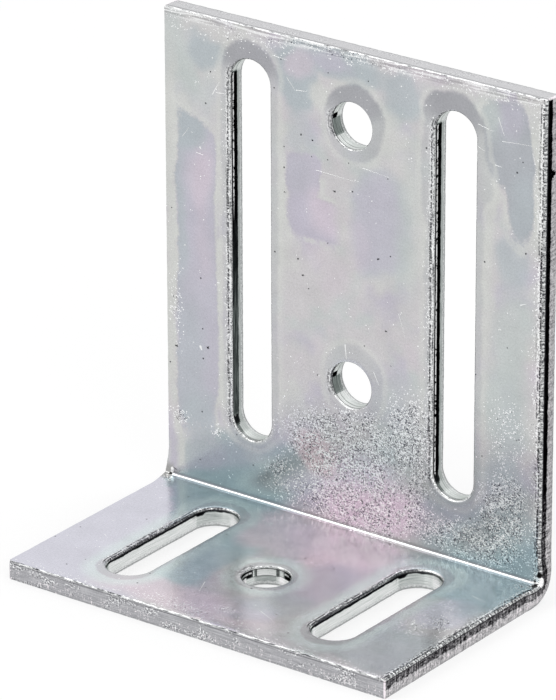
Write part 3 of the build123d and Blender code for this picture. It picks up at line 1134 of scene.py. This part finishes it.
# The scuffed edges: dark and bright lines along the sides, dots along the top end, and black beads
by_edge = g.join(run, off_run)
lines = g.noise(by_edge, (0.16, 2.6), 1.0, 0.5)
dots = g.noise(by_edge, (2.8, 2.8), 1.0, 0.5)
along_top = scuff < 0.0
scuff = abs(scuff)
scuffed = g.blend(g.blend(along_top, 0.55, 0.15), lines, dots)
scuff_dark = scuffed.ease(0.45, 0.41) * scuff * g.blend(along_top, 0.95, 0.3)
scuff_light = scuffed.ease(0.52, 0.56) * scuff * g.blend(along_top, 0.92, 0.6)
skin_colour = g.mix(scuff_dark, skin_colour, (0.08, 0.08, 0.09))
skin_colour = g.mix(scuff_light, skin_colour, SALT)
beads = g.noise(by_edge, (3.2, 1.5), 1.0, 0.5)
strung = (lines - 0.5) * 0.5 + off_run
on_line = abs(strung - 0.5).ease(0.2, 0.11)
beaded = on_line * beads.ease(0.55, 0.5) * g.blend(along_top, scuff, 0.0)
skin_colour = g.mix(beaded * 0.95, skin_colour, (0.02, 0.02, 0.025))

# Cut walls: rolled edge, a front and a back band painted with reflection and shade by the way the wall faces,
# and the torn last part
roll_dark, front_dark, back_dark = g.split(g.field("look"))
border = g.number("look_split")
sheared = g.math("SUBTRACT", on_wall, 1.0, clamp=True)
is_cut = g.math("MINIMUM", on_wall, 1.0)
by_wall = g.join(along, depth)
streaks = g.noise(by_wall, (3.0, 0.35), 3.0, 0.65)
stripes = g.noise(by_wall, (0.22, 6.5), 2.0, 0.6)
crumbs = g.noise(by_wall, 3.6, 3.0, 0.7)
wander = g.noise(by_wall, (0.5, 0.0), 4.0, 0.65).span(0.3, 0.7, -0.45, 0.45)
wander = wander * g.blend(sheared, 0.2, front_dark.span(0.6, 1.0, 1.0, 0.35))
border_gap = depth + wander - border

is_end = strip_end.ease(0.15, 0.4)
is_front = strip_end.ease(0.6, 0.9)
drawn = g.noise(by_wall, (0.7, 5.0), 2.0, 0.5)
# The rolled edge is painted from black to white as shade and highlight, by the way the wall faces
rolled = crumbs * 0.55 + g.blend(sheared, stripes, streaks) * 0.45
rolled = g.blend(is_end, rolled, drawn * 0.75 + (crumbs * 0.25 + g.blend(is_front, 0.03, 0.0)))
roll_colour = g.ramp(roll_dark * -0.17 + (rolled + 0.07), ROLL_TONES)
blotch = g.noise(by_wall, (0.9, 1.6), 3.0, 0.7)
marked = crumbs * 0.35 + (streaks * 0.35 + blotch * 0.3)
harsh = front_dark.span(0.65, 0.95, -3.8, -2.6)
smooth_marks = stripes * 0.9 + crumbs * 0.1
marked = g.blend(sheared, smooth_marks, marked) - 0.5
dark = g.blend(border_gap.ease(-0.06, 0.06), front_dark, back_dark)
shade = marked * g.blend(sheared, -0.9, harsh) + dark
wall_colour = g.ramp(shade * 0.75 + 0.25, LAND_TONES)
purple = sheared * g.blend(shade.ease(0.2, 0.6), 0.3, 0.7)
wall_colour = g.mix(purple, wall_colour, g.mix(1.0, wall_colour, (1.2, 0.95, 1.08), "MULTIPLY"))
border_line = abs(border_gap).ease(0.1, 0.03) * g.blend(sheared, 0.6, 0.2)
wall_colour = g.mix(border_line, wall_colour, (0.06, 0.07, 0.07))

# A painted highlight: a pale line between two black ones on the darkest of the slots' walls
gleam = depth.ease(0.62, 0.72) * depth.ease(1.0, 0.88)
gleam = gleam * front_dark.ease(0.86, 0.96) * roll_dark.ease(0.46, 0.36)
gleam = gleam * g.noise(by_wall, 1.6, 3.0, 0.6).ease(0.4, 0.5)
wall_colour = g.mix(gleam * 0.85, wall_colour, (0.84, 0.85, 0.85))

# The torn part, then the two end faces with their flecks
torn = crumbs * 0.7 + streaks * 0.3
torn_share = depth.ease(2.2, 2.45) * g.blend(sheared, 0.55, 0.1)
wall_colour = g.mix(torn_share, wall_colour, g.ramp(torn, TORN_TONES))
clusters = g.noise(by_wall, (0.25, 0.6), 4.0, 0.6).ease(0.5, 0.6)
end_colour = g.mix(g.noise(by_wall, 0.8, 3.0, 0.6), (0.32, 0.32, 0.34), (0.45, 0.45, 0.47))
end_colour = g.mix(stripes.ease(0.45, 0.62), end_colour, (0.53, 0.53, 0.55))
end_colour = g.mix(is_front, g.mix(0.75, end_colour, (0.74, 0.74, 0.75)), end_colour)
wall_dots = g.noise(by_wall, 3.7, 1.5, 0.5)
flecks = wall_dots.ease(0.545, 0.6) * g.blend(clusters, 0.08, 1.0) * g.blend(is_front, 0.5, 1.0)
end_colour = g.mix(flecks * 0.9, end_colour, SALT)
flecks = wall_dots.ease(0.44, 0.38) * g.blend(clusters, 0.1, 1.0) * g.blend(is_front, 0.5, 1.0)
end_colour = g.mix(flecks * 0.8, end_colour, (0.13, 0.13, 0.14))
wall_colour = g.mix(is_end * (shade > 0.0), wall_colour, end_colour)

# The dark seam under the rolled edge, the edge itself and the arris at the outer skin
seam = depth.ease(0.54, 0.46) * depth.ease(0.3, 0.4)
wall_colour = g.mix(seam * g.blend(is_end, 0.9, 0.5), wall_colour, (0.04, 0.04, 0.045))
roll_end = g.blend(is_end, 0.38, g.blend(is_front, 0.2, 0.27))
cut_colour = g.mix((roll_end - depth).ease(0.0, 0.1), wall_colour, roll_colour)
arris = depth.ease(2.66, 2.74) * depth.ease(2.92, 2.86)
cut_colour = g.mix(arris * g.blend(sheared, 0.6, 0.25), cut_colour, (0.2, 0.21, 0.21))
cut_colour = g.mix(depth.ease(2.92, 2.97), cut_colour, (0.66, 0.67, 0.67))
cut_colour = g.mix(depth.ease(0.05, 0.0), cut_colour, skin_colour)
colour = g.mix(is_cut, skin_colour, cut_colour)

# The ends of the fold's inner corner: dark crushed blots and near-white painted glints
at_fold = g.join(u, crease)
shallow = w.ease(0.75, 0.4)
for x, y, half_wide, half_high, turned, strength, grey in CRUSHED_AND_GLINTS:
    off = g.vector("SUBTRACT", at_fold, (x, y, 0.0))
    c, s = math.cos(math.radians(turned)), math.sin(math.radians(turned))
    long = g.vector("DOT_PRODUCT", off, (c / half_wide, s / half_wide, 0.0))
    wide = g.vector("DOT_PRODUCT", off, (-s / half_high, c / half_high, 0.0))
    reach = g.vector("LENGTH", g.join(long, wide))
    blot = (mottle * 1.6 + reach).ease(1.15, 0.75) * shallow * strength
    colour = g.mix(blot, colour, (grey, grey, grey))
edge_tint = g.mix(is_cut * 0.85, (1.0, 1.0, 1.0), cut_colour)

# Roughness: satin skin, duller speckle, rough tear
skin_rough = g.noise(strip, 0.6, 3.0, 0.6).span(0.3, 0.7, 0.17, 0.25)
skin_rough = thick * 0.12 + skin_rough
wall_rough = g.blend(depth.ease(2.2, 2.45), 0.26, 0.5)
wall_rough = g.blend(is_end, wall_rough, 0.42)
rough = g.blend(is_cut, skin_rough, wall_rough)

# Relief too fine for the mesh, in metres
skin_relief = marks * -0.00002 + g.noise(strip, 1.6, 3.0, 0.6) * 0.00001
wall_relief = g.noise(by_wall, 2.6, 3.0, 0.7) * g.blend(sheared, 0.00002, 0.00007)
relief = g.blend(is_cut, skin_relief, wall_relief)
bump = g.out("ShaderNodeBump", {"Height": relief, "Distance": 1.0, "Strength": 1.0})

finish = {"Base Color": colour, "Metallic": 1.0, "Roughness": rough, "Specular Tint": edge_tint, "Normal": bump}
g.node("ShaderNodeOutputMaterial", {"Surface": g.out("ShaderNodeBsdfPrincipled", finish)})
mesh.materials.append(zinc)

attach(plate, "root")
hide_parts(NODE)

# The photograph's camera: where it stands round the bracket, how far off, and the pixel that a known
# place on the plate falls on
AZIMUTH, ELEVATION, ROLL = 36.53, 22.88, -0.16
DISTANCE, FOCAL_PX = 822.63, 5923.21
FRAME_W, FRAME_H, SENSOR = 556, 700, 36.0
SEEN = Vector((0.0, 10.0, 40.0))
SEEN_PX = (321.25, 302.62)
az, el, roll_turn = (math.radians(a) for a in (AZIMUTH, ELEVATION, ROLL))
back = Vector((math.sin(az) * math.cos(el), -math.cos(az) * math.cos(el), math.sin(el)))
right = Vector((math.cos(az), math.sin(az), 0.0))
up = back.cross(right)
right, up = (
    right * math.cos(roll_turn) + up * math.sin(roll_turn),
    up * math.cos(roll_turn) - right * math.sin(roll_turn),
)
across = (SEEN_PX[0] - FRAME_W / 2) * DISTANCE / FOCAL_PX
above = (FRAME_H / 2 - SEEN_PX[1]) * DISTANCE / FOCAL_PX
eye = SEEN - right * across - up * above + back * DISTANCE
lens = bpy.data.cameras.new("camera")
lens.sensor_width = SENSOR
lens.lens = FOCAL_PX * SENSOR / FRAME_H
lens.clip_start, lens.clip_end = 0.05, 20.0
camera = bpy.data.objects.new("camera", lens)
facing = Matrix((right, up, back)).transposed().to_4x4()
camera.matrix_world = Matrix.Translation(eye * MM) @ facing
bpy.context.scene.collection.objects.link(camera)
bpy.context.scene.camera = camera


def seen_rays(g):
    """1 for the rays that show the background itself: camera, glossy and transmission."""
    kinds = ("Is Camera Ray", "Is Glossy Ray", "Is Transmission Ray")
    return g.largest(*(g.out("ShaderNodeLightPath", output=kind) for kind in kinds))


# A wide pale floor that fades to plain white with distance and keeps the bracket's soft shadow
FLOOR_R = 2.5
FLOOR_DROP = 0.00002
work = bmesh.new()
bmesh.ops.create_circle(work, cap_ends=True, segments=96, radius=FLOOR_R)
floor_mesh = bpy.data.meshes.new("floor")
work.to_mesh(floor_mesh)
work.free()
floor = bpy.data.objects.new("floor", floor_mesh)
floor.location.z = -FLOOR_DROP
bpy.context.scene.collection.objects.link(floor)
paper, g = new_material("floor_paper")
seen = seen_rays(g)
spot = g.out("ShaderNodeTexCoord", output="Object")
far = g.vector("LENGTH", spot).ease(0.25, 1.0)
matt = g.out("ShaderNodeBsdfDiffuse", {"Color": g.mix(seen, (0.8, 0.8, 0.8), (1.16, 1.16, 1.16))})
glow = g.out("ShaderNodeEmission", {"Color": (1, 1, 1, 1), "Strength": 1.0})
share = seen * g.blend(far, 0.7, 1.0)
mixed = g.out("ShaderNodeMixShader", {0: share, 1: matt, 2: glow})
g.node("ShaderNodeOutputMaterial", {"Surface": mixed})
floor_mesh.materials.append(paper)

world = bpy.data.worlds.new("studio")
bpy.context.scene.world = world
world.use_nodes = True
world.node_tree.nodes.clear()
g = Graph(world.node_tree)
seen = seen_rays(g)
sky = g.out("ShaderNodeBackground", {"Color": (1, 1, 1, 1), "Strength": g.blend(seen, 0.55, 1.0)})
g.node("ShaderNodeOutputWorld", {"Surface": sky})

# Square soft lamps in metres and watts: name, place, side and power, all turned to the bracket
LAMPS = (
    ("key", (-0.55, -0.6, 0.95), 0.6, 3.6),
    ("fill", (0.85, -0.45, 0.55), 0.6, 1.6),
    ("top", (0.15, 0.45, 1.1), 0.6, 2.2),
)
AIM = Vector((0.0, 0.0, 0.03))
for name, spot, size, watts in LAMPS:
    lamp = bpy.data.lights.new(name, "AREA")
    lamp.shape = "SQUARE"
    lamp.size = size
    lamp.energy = watts
    made = bpy.data.objects.new(name, lamp)
    made.location = spot
    made.rotation_mode = "QUATERNION"
    made.rotation_quaternion = (AIM - Vector(spot)).to_track_quat("-Z", "Y")
    bpy.context.scene.collection.objects.link(made)

bpy.context.scene.view_settings.view_transform = "Standard"
